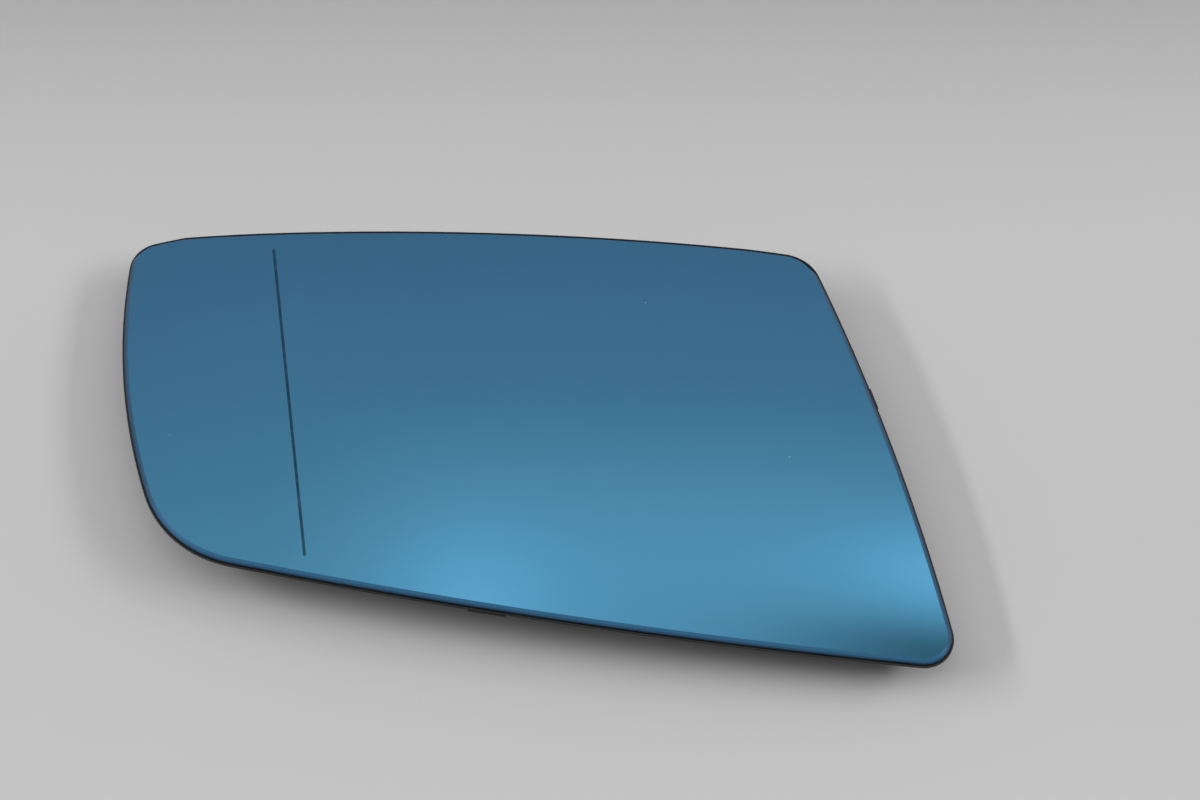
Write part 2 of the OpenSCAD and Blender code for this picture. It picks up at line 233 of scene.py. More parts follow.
def rounded(corners, steps=3, closed=False):
    points = []
    for i, (x, y, r) in enumerate(corners):
        here = Vector((x, y))
        if r == 0 or (not closed and i in (0, len(corners) - 1)):
            points.append(here)
            continue
        a = (Vector(corners[i - 1][:2]) - here).normalized()
        b = (Vector(corners[(i + 1) % len(corners)][:2]) - here).normalized()
        half = a.angle(b) / 2
        centre = here + (a + b).normalized() * r / math.sin(half)
        start, end = here + a * r / math.tan(half) - centre, here + b * r / math.tan(half) - centre
        points += arcPoints(centre, r, start, swing(start, end), steps) + [centre + end]
    return points


def rectLoop(centre, length, width, radius, turn=0):
    half = Vector((length / 2, width / 2))

    def loop(grow):
        r = max(radius + grow, 0.01 * mm)
        x, y = half.x + grow, half.y + grow
        corners = [(x, -y, r), (x, y, r), (-x, y, r), (-x, -y, r)]
        spin = Matrix.Rotation(turn, 2)
        return [centre + spin @ p for p in rounded(corners, 6, True)]

    return loop


def circleLoop(centre, radius, count=48):
    def loop(grow):
        return arcPoints(centre, radius + grow, Vector((1, 0)), 2 * math.pi, count)

    return loop


# Fills a loop less its holes with triangles. The loops' own points come first, in their order
def planeFill(loops, spacing):
    rim = [p for loop in loops for p in loop]
    starts = [sum(len(loop) for loop in loops[:k]) for k in range(len(loops) + 1)]
    rings = [list(range(a, b)) for a, b in zip(starts, starts[1:])]
    edges = [(ring[k - 1], ring[k]) for ring in rings for k in range(len(ring))]
    rimPlaces = np.array(rim)
    low, high = rimPlaces.min(0), rimPlaces.max(0)
    inner = []
    if spacing:
        for x in np.arange(low[0] + spacing / 2, high[0], spacing):
            for y in np.arange(low[1] + spacing / 2, high[1], spacing):
                if ((rimPlaces - (x, y)) ** 2).sum(1).min() > (0.6 * spacing) ** 2:
                    inner.append(Vector((x, y)))
    found = delaunay_2d_cdt(rim + inner, edges, rings, 1, 1e-7)
    names = [source[0] for source in found[3]]
    triangles = [[names[v] for v in t] for t, owners in zip(found[2], found[5]) if max(owners) == 0]
    used = sorted({v for t in triangles for v in t if v >= len(rim)})
    number = dict(enumerate(range(len(rim))))
    number.update({v: len(rim) + k for k, v in enumerate(used)})
    return rim + [inner[v - len(rim)] for v in used], [[number[v] for v in t] for t in triangles]


def loopSolid(name, loopAt, section, spacing=0):
    points, faces, rings = [], [], []
    for grow, z in section:
        loop = loopAt(grow)
        rings.append(range(len(points), len(points) + len(loop)))
        points += [(p.x, p.y, z) for p in loop]
    for low, high in zip(rings, rings[1:]):
        faces += [(low[k - 1], low[k], high[k], high[k - 1]) for k in range(len(low))]
    for ring, (grow, z) in ((rings[0], section[0]), (rings[-1], section[-1])):
        flat, triangles = planeFill([loopAt(grow)], spacing)
        shift = len(points) - len(ring)
        points += [(p.x, p.y, z) for p in flat[len(ring):]]
        faces += [[ring[v] if v < len(ring) else v + shift for v in t] for t in triangles]
    return newObject(name, points, faces)


def ringSolid(name, loopAt, section):
    points, faces = [], []
    for grow, z in section:
        points += [(p.x, p.y, z) for p in loopAt(grow)]
    count = len(points) // len(section)
    for j in range(len(section)):
        low, high = j * count, (j + 1) % len(section) * count
        for k in range(count):
            faces.append((low + (k - 1) % count, low + k, high + k, high + (k - 1) % count))
    return newObject(name, points, faces)


def barSolid(name, section, stations, place):
    count = len(section)
    points = [place(u, v, s) for s in stations for u, v in section]
    faces = [tuple(range(count)), tuple(range(len(points) - count, len(points)))]
    for low in range(0, len(points) - count, count):
        for k in range(count):
            j = (k + 1) % count
            faces.append((low + k, low + j, low + count + j, low + count + k))
    return newObject(name, points, faces)


def setIn(loop, distances):
    moved = []
    for k, here in enumerate(loop):
        a = (here - loop[k - 1]).normalized()
        b = (loop[(k + 1) % len(loop)] - here).normalized()
        fromA, fromB = Vector((-a.y, a.x)) * distances[k - 1], Vector((-b.y, b.x)) * distances[k]
        cross = a.x * b.y - a.y * b.x
        if abs(cross) < 0.02:
            moved.append(here + (fromA if fromA.length > fromB.length else fromB))
            continue
        gap = fromB - fromA
        moved.append(here + fromA + a * (gap.x * b.y - gap.y * b.x) / cross)
    return moved


# A plate with softened rims, bent by place(u, v, depth). Open edges get no wall, to be joined to a copy
def plateSolid(name, loops, thickness, rim, spacing, place, isOpen=None, steps=3):
    angles = [math.pi / 2 * k / steps for k in range(steps + 1)]
    levels = [(1 - math.sin(a), rim * (1 - math.cos(a))) for a in angles]
    levels += [(share, thickness - t) for share, t in reversed(levels)]
    points, faces, flatLoops, ringsOfLoop = [], [], [], []
    for number, loop in enumerate(loops):
        pairs = [(loop[k], loop[(k + 1) % len(loop)]) for k in range(len(loop))]
        walls = [isOpen is None or not isOpen(a, b) for a, b in pairs]
        way = 1 if number == 0 else -1
        rings = []
        for share, t in levels:
            moved = setIn(loop, [way * share * rim * wall for wall in walls])
            rings.append(range(len(points), len(points) + len(loop)))
            points += [place(p.x, p.y, t) for p in moved]
        for low, high in zip(rings, rings[1:]):
            for k, wall in enumerate(walls):
                j = (k + 1) % len(loop)
                if wall:
                    faces.append((low[k], low[j], high[j], high[k])[::way])
        flatLoops.append(setIn(loop, [way * rim * wall for wall in walls]))
        ringsOfLoop.append(rings)
    flat, triangles = planeFill(flatLoops, spacing)
    for side, t, way in ((0, 0, -1), (-1, thickness, 1)):
        rimNumbers = [v for rings in ringsOfLoop for v in rings[side]]
        shift = len(points) - len(rimNumbers)
        points += [place(p.x, p.y, t) for p in flat[len(rimNumbers):]]
        for triangle in triangles:
            faces.append([rimNumbers[v] if v < len(rimNumbers) else v + shift for v in triangle][::way])
    return newObject(name, points, faces, isOpen is None)


def divided(loop, step):
    points = []
    for k, here in enumerate(loop):
        there = loop[(k + 1) % len(loop)]
        count = max(1, math.ceil((there - here).length / step))
        points += [here.lerp(there, j / count) for j in range(count)]
    return points


def combine(obj, others, operation):
    for other in others:
        modifier = obj.modifiers.new(operation, "BOOLEAN")
        modifier.operation, modifier.solver, modifier.object = operation, "MANIFOLD", other
    settle(obj)
    for other in others:
        bpy.data.objects.remove(other)
    return obj


# Smooth shading broken at sharp edges, with normals that keep broad faces flat
def finishPiece(obj, nodes, materials, angle=32):
    obj.data.shade_smooth()
    obj.data.set_sharp_from_angle(angle=math.radians(angle))
    weighted = obj.modifiers.new("weighted", "WEIGHTED_NORMAL")
    weighted.keep_sharp = True
    settle(obj)
    zones = [polygon.material_index for polygon in obj.data.polygons]
    obj.data.materials.clear()
    for material in materials:
        obj.data.materials.append(material)
    if len(materials) > 1:
        obj.data.polygons.foreach_set("material_index", zones)
    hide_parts(*nodes)
    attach(obj, "root")
    return obj


# Lays a flat model on the face: a point at depth z below the plane goes to that depth below the face
def buildLayTree():
    names = ["Top", "Radius", "Extra Drop", "Power", "Line Offset", "Half Width"]
    tree, given, out = newTree("layOnFace", [(name, "Float") for name in names] + [("Material", "Material")])
    top, radius, extraDrop, power, lineOffset, halfWidth = [given[name] for name in names]
    place = addNode(tree, "ShaderNodeSeparateXYZ", {"Vector": tree.nodes.new("GeometryNodeInputPosition").outputs[0]})
    past = maths(tree, "SUBTRACT", maths(tree, "MULTIPLY", place.outputs["X"], -1.0), lineOffset)
    into = maths(tree, "MAXIMUM", maths(tree, "DIVIDE", past, maths(tree, "SUBTRACT", halfWidth, lineOffset)), 0.0)
    drop = maths(tree, "MULTIPLY", maths(tree, "POWER", into, power), extraDrop)
    squares = [maths(tree, "MULTIPLY", v, v) for v in (radius, place.outputs["X"], place.outputs["Y"])]
    ring = maths(tree, "SUBTRACT", maths(tree, "SQRT", maths(tree, "SUBTRACT", squares[0], squares[1])), drop)
    across = maths(tree, "SUBTRACT", maths(tree, "MULTIPLY", ring, ring), squares[2])
    sink = maths(tree, "SUBTRACT", radius, maths(tree, "SQRT", across))
    lift = addNode(tree, "ShaderNodeCombineXYZ", {"Z": maths(tree, "SUBTRACT", top, sink)})
    moved = addNode(tree, "GeometryNodeSetPosition", {"Geometry": given["Geometry"], "Offset": lift.outputs[0]})
    endTree(tree, out, moved.outputs[0], given["Material"])
    return tree


layTree = buildLayTree()


def layOnFace(obj, material):
    return runTree(obj, layTree, {
        "Material": material,
        "Top": face["top"],
        "Radius": face["radius"],
        "Extra Drop": face["extraDrop"],
        "Power": face["power"],
        "Line Offset": face["lineOffset"],
        "Half Width": face["halfWidth"],
    })


# Sets a piece on points, turned and stretched by their attributes, and welds what meets
def buildCopyTree():
    tree, given, out = newTree("copyToPoints", [("Piece", "Object"), ("Weld", "Float"), ("Material", "Material")])
    named = [
        addNode(tree, "GeometryNodeInputNamedAttribute", {"Name": name}, data_type="FLOAT_VECTOR").outputs[0]
        for name in ("turn", "stretch")
    ]
    piece = addNode(tree, "GeometryNodeObjectInfo", {"Object": given["Piece"], "As Instance": True})
    turned = addNode(tree, "FunctionNodeEulerToRotation", {"Euler": named[0]})
    copies = addNode(tree, "GeometryNodeInstanceOnPoints", {
        "Points": given["Geometry"],
        "Instance": piece.outputs["Geometry"],
        "Rotation": turned.outputs[0],
        "Scale": named[1],
    })
    whole = addNode(tree, "GeometryNodeRealizeInstances", {"Geometry": copies.outputs[0]})
    welded = addNode(tree, "GeometryNodeMergeByDistance", {"Geometry": whole.outputs[0], "Distance": given["Weld"]})
    endTree(tree, out, welded.outputs[0], given["Material"])
    return tree


copyTree = buildCopyTree()


# spots are (place, turn as Euler angles, stretch)
def copyPiece(name, piece, spots, material, weld=0):
    obj = newObject(name, [spot[0] for spot in spots], [], False)
    for k, attribute in enumerate(("turn", "stretch")):
        layer = obj.data.attributes.new(attribute, "FLOAT_VECTOR", "POINT")
        layer.data.foreach_set("vector", [value for spot in spots for value in spot[k + 1]])
    runTree(obj, copyTree, {"Piece": piece, "Weld": weld, "Material": material})
    bpy.data.objects.remove(piece)
    return obj


# Glass
mirror = {
    "thickness": 2 * mm,
    "bevelWidth": 1 * mm,
    "bevelDepth": 0.8 * mm,
    "bevelSoftening": 0.1 * mm,
    "backChamfer": 0.2 * mm,
    "faceMargin": 0.35 * mm,
    "faceGrid": 3 * mm,
    "backGrid": 6 * mm,
    "lineLength": 79 * mm,
    "lineWidth": 0.65 * mm,
    "lineDepth": 0.05 * mm,
    "lineLean": math.radians(8.7),
    "lineRise": 9.1 * mm,
}


def buildMirrorGlass(coating, bevel, edge, line):
    lay = mirror
    chain = rounded([
        (-lay["backChamfer"], -lay["thickness"], 0),
        (0, -lay["thickness"] + lay["backChamfer"], 0),
        (0, -lay["bevelDepth"], lay["bevelSoftening"]),
        (-lay["bevelWidth"], 0, lay["bevelSoftening"]),
        (-lay["bevelWidth"] - lay["faceMargin"], 0, 0),
    ])
    loops = [outlineLoop(p.x) for p in chain]
    count = len(loops[0])
    points = [(p.x, p.y, q.y) for loop, q in zip(loops, chain) for p in loop]
    lengths = np.cumsum([0] + [(loops[2][k] - loops[2][k - 1]).length for k in range(1, count)])
    whole = lengths[-1] + (loops[2][0] - loops[2][-1]).length
    faces, zones, places = [], [], []
    for j in range(len(chain) - 1):
        low, high = j * count, (j + 1) * count
        middle = (chain[j] + chain[j + 1]) / 2
        zone = 0 if middle.x < -lay["bevelWidth"] else 1 if middle.y > -lay["bevelDepth"] else 2
        for k in range(count):
            faces.append((low + k - 1 + count * (k == 0), low + k, high + k, high + k - 1 + count * (k == 0)))
            zones.append(zone)
            start, end = (lengths[k - 1], lengths[k]) if k else (lengths[-1], whole)
            places.append([(start, chain[j].y), (end, chain[j].y), (end, chain[j + 1].y), (start, chain[j + 1].y)])

    # Face with the groove of the dividing line, and the back
    lineLoop = rectLoop(
        Vector((-face["lineOffset"], lay["lineRise"])),
        lay["lineWidth"], lay["lineLength"], lay["lineWidth"] / 2, lay["lineLean"],
    )
    rim, groove = loops[-1], lineLoop(0)
    flat, triangles = planeFill([rim, groove], lay["faceGrid"])
    rimStart = (len(chain) - 1) * count
    shift = len(points) - count
    points += [(p.x, p.y, 0) for p in flat[count:]]
    faces += [[rimStart + v if v < count else v + shift for v in t] for t in triangles]
    grooveTop = [shift + count + k for k in range(len(groove))]
    grooveFloor = range(len(points), len(points) + len(groove))
    points += [(p.x, p.y, -lay["lineDepth"]) for p in groove]
    wall = [(grooveTop[k], grooveTop[k - 1], grooveFloor[k - 1], grooveFloor[k]) for k in range(len(groove))]
    half = len(groove) // 2
    floor = [(grooveFloor[k], grooveFloor[k + 1], grooveFloor[-k - 2], grooveFloor[-k - 1]) for k in range(half - 1)]
    faces += wall + floor
    zones += [0] * len(triangles) + [3] * (len(wall) + len(floor))
    flat, triangles = planeFill([loops[0]], lay["backGrid"])
    shift = len(points) - count
    points += [(p.x, p.y, -lay["thickness"]) for p in flat[count:]]
    faces += [[v if v < count else v + shift for v in reversed(t)] for t in triangles]
    zones += [2] * len(triangles)

    obj = newObject("mirrorGlass", points, faces)
    layer = obj.data.uv_layers.new(name="edge")
    for polygon, corners in zip(obj.data.polygons, places):
        byPoint = dict(zip(faces[polygon.index], corners))
        for corner in polygon.loop_indices:
            layer.data[corner].uv = byPoint[obj.data.loops[corner].vertex_index]
    layOnFace(obj, coating)
    obj.data.polygons.foreach_set("material_index", zones)
    finishPiece(obj, ["mirror_glass"], [coating, bevel, edge, line], 20)
    normals = [corner.vector.copy() for corner in obj.data.corner_normals]
    for polygon in obj.data.polygons:
        if polygon.material_index == 0:
            for corner in polygon.loop_indices:
                here = obj.data.vertices[obj.data.loops[corner].vertex_index].co
                normals[corner] = faceNormal(here.x, here.y)
    obj.data.normals_split_custom_set(normals)
    return obj


# Carrier plate, laid out flat and then laid on the face
carrier = {
    "lipOut": 0.48 * mm,
    "lipIn": 0.05 * mm,
    "lipDepth": 1.25 * mm,
    "lipLower": 1.6 * mm,
    "lipFoot": 0.02 * mm,
    "glassDepth": 2 * mm,
    "shelfDepth": 2.4 * mm,
    "trayIn": -3.3 * mm,
    "trayOut": -0.9 * mm,
    "padDepth": 3.25 * mm,
    "stepDepth": 4.15 * mm,
    "skinIn": -2.4 * mm,
    "skinDepth": 5.05 * mm,
    "grid": 5 * mm,
    "ribWidth": 1.2 * mm,
    "ribDepth": 7.05 * mm,
    "ribFoot": 0.3 * mm,
    "ribRound": 0.25 * mm,
    "rimRib": -5.2 * mm,
    "ribCount": 16,
    "ribStart": 32.3 * mm,
    "lugIn": -3 * mm,
    "lugTop": 1.7 * mm,
    "lugDepth": 2.6 * mm,
    "lugRound": 0.3 * mm,
    # side of the outline, the lug's middle on it, its length and its reach
    "lugs": [
        (4, Vector((-6.8 * mm, -42.02 * mm)), 8 * mm, 0.56 * mm),
        (3, Vector((76.45 * mm, 9.9 * mm)), 5 * mm, 0.85 * mm),
    ],
    "window": (9.4 * mm, 8.4 * mm, 1 * mm),
    "leadIn": 0.3 * mm,
    "ejectorRadius": 2.2 * mm,
    "ejectorDepth": 0.12 * mm,
    "ejectorPlaces": [(-70, 24), (-64, -14), (-46, 38), (-38, -26), (14, 39), (12, -39), (56, 30), (58, -36), (82, -48)],
}
terminal = {
    "x": 54 * mm,
    "y": 11 * mm,
    "depth": 2.48 * mm,
}
collar = {
    "radius": 33.5 * mm,
    "inside": 31.3 * mm,
    "height": 9.6 * mm,
    "count": 8,
    "fingerWidth": 9.5 * mm,
    "slot": 1.2 * mm,
    "slotTop": 7.5 * mm,
    "short": 0.6 * mm,
    "rim": 0.2 * mm,
    "step": 1 * mm,
    "hook": [(31.7, 0.8), (31.3, 0.8), (30.1, 1.8), (30.1, 3.0), (31.3, 4.0), (31.7, 4.0)],
    "hookRound": 0.15,
    "hookSpan": 9.2 * mm,
    "fillet": 0.8 * mm,
}


def buildShell():
    c = carrier
    section = rounded([
        (c["skinIn"], -c["skinDepth"], 0),
        (c["skinIn"], -c["stepDepth"], 0.2 * mm),
        (c["trayOut"], -c["stepDepth"], 0.3 * mm),
        (c["trayOut"], -c["shelfDepth"], 0.2 * mm),
        (c["lipFoot"], -c["shelfDepth"], 0.1 * mm),
        (c["lipOut"], -c["lipLower"], 0.1 * mm),
        (c["lipOut"], -c["lipDepth"], 0.12 * mm),
        (c["lipIn"], -c["lipDepth"], 0.1 * mm),
        (c["lipIn"], -c["glassDepth"], 0),
        (c["trayIn"], -c["glassDepth"], 0),
        (c["trayIn"], -c["padDepth"], 0),
    ])
    return loopSolid("carrierPlate", outlineLoop, [(p.x, p.y) for p in section], c["grid"])


def ribSection(half):
    c = carrier
    top = -c["skinDepth"] + 0.3 * mm
    return rounded([
        (half + c["ribFoot"], top, 0),
        (half + c["ribFoot"], -c["skinDepth"], 0),
        (half, -c["skinDepth"] - c["ribFoot"], 0),
        (half, -c["ribDepth"], c["ribRound"]),
        (-half, -c["ribDepth"], c["ribRound"]),
        (-half, -c["skinDepth"] - c["ribFoot"], 0),
        (-half - c["ribFoot"], -c["skinDepth"], 0),
        (-half - c["ribFoot"], top, 0),
    ], 3, True)


def reachOfRib(angle, loop, start):
    way = Vector((math.cos(angle), math.sin(angle)))
    best = 0
    for k, b in enumerate(loop):
        a = loop[k - 1]
        edge = b - a
        cross = way.x * edge.y - way.y * edge.x
        if abs(cross) < 1e-12:
            continue
        along = (a.x * edge.y - a.y * edge.x) / cross
        share = (a.x * way.y - a.y * way.x) / cross
        if 0 <= share <= 1 and along > best:
            best = along
    return best - start


def buildRibs(material):
    c = carrier
    half = c["ribWidth"] / 2
    rimSection = [(p.x + c["rimRib"] - half, p.y) for p in ribSection(half)]
    rimRib = ringSolid("rimRib", outlineLoop, rimSection)
    stations = [k / 24 for k in range(25)]
    unit = barSolid("rib", ribSection(half), stations, lambda u, v, s: (s, u, v))
    loop = outlineLoop(c["rimRib"] - half)
    spots = []
    for k in range(c["ribCount"]):
        angle = 2 * math.pi * (k + 0.5) / c["ribCount"]
        start = (c["ribStart"] * math.cos(angle), c["ribStart"] * math.sin(angle), 0)
        spots.append((start, (0, 0, angle), (reachOfRib(angle, loop, c["ribStart"]), 1, 1)))
    return [rimRib, copyPiece("ribs", unit, spots, material)]


def terminalPlaces():
    return [Vector((terminal["x"], side * terminal["y"])) for side in (-1, 1)]


def buildShrouds():
    c = carrier
    shrouds = []
    for place in terminalPlaces():
        loopAt = rectLoop(place, *c["window"])
        section = rounded([
            (c["ribWidth"] - c["ribRound"], -c["ribDepth"], 0),
            (c["ribWidth"], -c["ribDepth"] + c["ribRound"], 0),
            (c["ribWidth"], -c["skinDepth"] - c["ribFoot"], 0),
            (c["ribWidth"] + c["ribFoot"], -c["skinDepth"], 0),
            (c["ribWidth"] + c["ribFoot"], -c["skinDepth"] + 0.3 * mm, 0),
        ])
        shrouds.append(loopSolid("shroud", loopAt, [(p.x, p.y) for p in section], 3 * mm))
    return shrouds


def buildWindowCuts():
    c = carrier
    low, high = -c["ribDepth"] - 0.5 * mm, -c["glassDepth"] + 0.5 * mm
    lead = c["leadIn"]
    section = [(lead, low), (lead, -c["ribDepth"]), (0, -c["ribDepth"] + lead), (0, high)]
    return [loopSolid("windowCut", rectLoop(place, *c["window"]), section, 3 * mm) for place in terminalPlaces()]


def buildEjectorCuts():
    c = carrier
    low, high = -c["skinDepth"] - 0.3 * mm, -c["skinDepth"] + c["ejectorDepth"]
    cuts = []
    for x, y in c["ejectorPlaces"]:
        loopAt = circleLoop(Vector((x * mm, y * mm)), c["ejectorRadius"], 40)
        cuts.append(loopSolid("ejectorCut", loopAt, [(0, low), (0, high)], 2 * mm))
    return cuts


def buildLugs():
    c = carrier
    lugs = []
    for side, middle, length, out in c["lugs"]:
        section = rounded([
            (c["lugIn"], -c["glassDepth"] - 0.2 * mm, 0),
            (c["lugIn"], -c["lugDepth"], 0),
            (out, -c["lugDepth"], c["lugRound"]),
            (out, -c["lugTop"], c["lugRound"] / 2),
            (0.1 * mm, -c["lugTop"], 0),
            (0.1 * mm, -c["glassDepth"] - 0.2 * mm, 0),
        ], 3, True)
        centre, radius = sides[side]
        centre = centre - loopMiddle
        angle = math.atan2(middle.y - centre.y, middle.x - centre.x)
        stations = [angle + length * (k / 8 - 0.5) / radius for k in range(9)]

        def place(u, v, s, centre=centre, radius=radius):
            return (centre.x + (radius + u) * math.cos(s), centre.y + (radius + u) * math.sin(s), v)

        lugs.append(barSolid("lug", section, stations, place))
    return lugs


def buildCollar(material):
    c = collar
    reach = math.pi / c["count"]
    edge, slotEdge = c["fingerWidth"] / 2, c["fingerWidth"] / 2 + c["slot"]
    end = c["radius"] * reach
    comb = [
        (-end, 0), (-slotEdge, 0), (-slotEdge, c["slotTop"]), (-edge, c["slotTop"]), (-edge, c["short"]),
        (edge, c["short"]), (edge, c["slotTop"]), (slotEdge, c["slotTop"]), (slotEdge, 0), (end, 0),
        (end, c["height"]), (-end, c["height"]),
    ]
    loop = divided([Vector(p) for p in comb], c["step"])

    def place(u, v, t):
        r = c["radius"] - t
        if abs(u) <= slotEdge:
            angle = math.asin(u / r)
        else:
            share = (abs(u) - slotEdge) / (end - slotEdge)
            angle = math.copysign(math.asin(slotEdge / r) * (1 - share) + reach * share, u)
        return (r * math.cos(angle), r * math.sin(angle), v)

    def isCut(a, b):
        return abs(abs(a.x) - end) < 1e-9 and abs(a.x - b.x) < 1e-9

    sector = plateSolid("sector", [loop], c["radius"] - c["inside"], c["rim"], c["step"] * 1.2, place, isCut)
    turns = [((0, 0, 0), (0, 0, 2 * reach * k), (1, 1, 1)) for k in range(c["count"])]
    wall = copyPiece("collar", sector, turns, material, 0.003 * mm)
    turnOutwards(wall)

    section = rounded([(r, z, c["hookRound"] if 0 < k < 5 else 0) for k, (r, z) in enumerate(c["hook"])], 2, True)
    stations = [c["hookSpan"] / c["inside"] * (k / 8 - 0.5) for k in range(9)]
    hook = barSolid("hook", section, stations, lambda u, v, s: (u * mm * math.cos(s), u * mm * math.sin(s), v * mm))
    return [wall, copyPiece("hooks", hook, turns, material)]


# Fillets where the collar's wall meets the plate
def buildFillets():
    c = collar
    fillets = []
    skin, f = -carrier["skinDepth"], c["fillet"]
    for radius, way in ((c["radius"], 1), (c["inside"], -1)):
        bow = [(way * (f - f * math.sin(a)), skin - f + f * math.cos(a)) for a in np.linspace(0, math.pi / 2, 6)]
        section = [(-0.3 * mm * way, skin - f), *[(g, z) for g, z in reversed(bow)]]
        section += [(way * f, skin + 0.3 * mm), (-0.3 * mm * way, skin + 0.3 * mm)]
        fillets.append(ringSolid("fillet", circleLoop(Vector((0, 0)), radius, 96), section))
    return fillets


def buildCarrierPlate(material):
    plate = layOnFace(buildShell(), material)
    added = [layOnFace(part, material) for part in buildRibs(material) + buildShrouds() + buildLugs() + buildFillets()]
    cuts = [layOnFace(cut, material) for cut in buildWindowCuts() + buildEjectorCuts()]
    combine(plate, added + buildCollar(material), "UNION")
    combine(plate, cuts, "DIFFERENCE")
    return finishPiece(plate, ["carrier_plate"], [material])


# Terminals
blade = {
    "width": 6.3 * mm,
    "footLength": 5.6 * mm,
    "footThickness": 0.4 * mm,
    "thickness": 0.8 * mm,
    "height": 8 * mm,
    "bend": 1.1 * mm,
    "taper": 1.2 * mm,
    "tipInset": 0.6 * mm,
    "rivetHole": 1.8 * mm,
    "catchHole": 1.6 * mm,
    "rim": 0.1 * mm,
    "step": 0.35 * mm,
}
rivet = {
    "headRadius": 1.7 * mm,
    "headHeight": 0.6 * mm,
    "shankRadius": 0.9 * mm,
    "shankLength": 0.73 * mm,
}


def terminalMatrix(side):
    turn = Matrix.Rotation(math.asin(terminal["x"] / face["radius"]), 4, "Y")
    tilt = Matrix.Rotation(-math.asin(side * terminal["y"] / face["radius"]), 4, "X")
    down = Matrix.Translation((0, 0, face["top"] - face["radius"]))
    return down @ turn @ tilt @ Matrix.Translation((0, 0, face["radius"] - terminal["depth"]))


def buildBlade(name, side, node, material):
    b = blade
    half = b["width"] / 2
    flat = b["footLength"] - b["bend"]
    bendEnd = flat + b["bend"] * math.pi / 2
    length = bendEnd + b["height"] - b["bend"]
    corners = [
        (0, -half, 0.4 * mm), (length - b["taper"], -half, 0.3 * mm), (length, -half + b["tipInset"], 0.25 * mm),
        (length, half - b["tipInset"], 0.25 * mm), (length - b["taper"], half, 0.3 * mm), (0, half, 0.4 * mm),
    ]
    rivetHole = circleLoop(Vector((b["footLength"] / 2, 0)), b["rivetHole"] / 2, 28)(0)
    catchPlace = Vector((length - half, 0))
    catchHole = circleLoop(catchPlace, b["catchHole"] / 2, 28)(0)
    loops = [divided(rounded(corners, 3, True), b["step"]), rivetHole, catchHole]

    def place(u, v, t):
        share = min(max((u - flat) / (bendEnd - flat), 0), 1)
        t *= 1 + share * (b["thickness"] / b["footThickness"] - 1)
        angle = share * math.pi / 2
        x = min(u, flat) + (b["bend"] - t) * math.sin(angle)
        z = -b["bend"] + (b["bend"] - t) * math.cos(angle) - max(u - bendEnd, 0)
        return matrix @ Vector((x - b["footLength"] / 2, v, z))

    matrix = terminalMatrix(side)
    obj = plateSolid(name, loops, b["footThickness"], b["rim"], b["step"] * 1.3, place)
    return finishPiece(obj, [node], [material], 40)


def buildRivets(material):
    r = rivet
    foot, head = -blade["footThickness"], -blade["footThickness"] - r["headHeight"]
    section = rounded([
        (-1.4 * mm, head + 0.16 * mm, 0),
        (-1.1 * mm, head, 0.2 * mm),
        (-0.55 * mm, head + 0.02 * mm, 0.5 * mm),
        (0, foot - 0.2 * mm, 0.25 * mm),
        (0, foot, 0),
        (r["shankRadius"] - r["headRadius"], foot, 0),
        (r["shankRadius"] - r["headRadius"], foot + r["shankLength"], 0),
    ], 4)
    one = loopSolid("rivet", circleLoop(Vector((0, 0)), r["headRadius"], 40), [(p.x, p.y) for p in section])
    spots = []
    for side in (-1, 1):
        matrix = terminalMatrix(side)
        spots.append((matrix.translation, matrix.to_euler(), (1, 1, 1)))
    obj = copyPiece("terminalRivets", one, spots, material)
    nodes = ["terminal_rivet_lower", "terminal_rivet_upper"]
    return finishPiece(obj, nodes, [material], 40)


# Shader groups, shared by several materials
def shaderGroup(name, given, results):
    tree = bpy.data.node_groups.new(name, "ShaderNodeTree")
    for way, sockets in (("INPUT", given), ("OUTPUT", results)):
        for socketName, kind in sockets:
            tree.interface.new_socket(socketName, in_out=way, socket_type="NodeSocket" + kind)
    return tree, tree.nodes.new("NodeGroupInput").outputs, tree.nodes.new("NodeGroupOutput").inputs


def ramp(tree, value, low, high, start=0.0, end=1.0, kind="SMOOTHSTEP"):
    node = addNode(tree, "ShaderNodeMapRange", {"Value": value}, interpolation_type=kind, clamp=True)
    for name, number in (("From Min", low), ("From Max", high), ("To Min", start), ("To Max", end)):
        put(tree, node.inputs[name], number)
    return node.outputs[0]


def noise(tree, vector, scale, detail=3.0, roughness=0.5, **settings):
    inputs = {"Vector": vector, "Scale": scale, "Detail": detail, "Roughness": roughness}
    return addNode(tree, "ShaderNodeTexNoise", inputs, **settings).outputs["Fac"]


# Sparse round dots: the share of cells that hold one is Amount
def buildSpecks():
    tree, given, out = shaderGroup(
        "specks", [("Vector", "Vector"), ("Scale", "Float"), ("Amount", "Float"), ("Size", "Float")], [("Mask", "Float")],
    )
    cells = addNode(tree, "ShaderNodeTexVoronoi", {"Vector": given["Vector"], "Scale": given["Scale"]})
    chance = addNode(tree, "ShaderNodeSeparateColor", {"Color": cells.outputs["Color"]}).outputs
    kept = maths(tree, "LESS_THAN", chance["Red"], given["Amount"])
    size = maths(tree, "MULTIPLY", given["Size"], ramp(tree, chance["Green"], 0.0, 1.0, 0.4, 1.0, "LINEAR"))
    near = maths(tree, "LESS_THAN", cells.outputs["Distance"], size)
    put(tree, out["Mask"], maths(tree, "MULTIPLY", kept, near))
    return tree


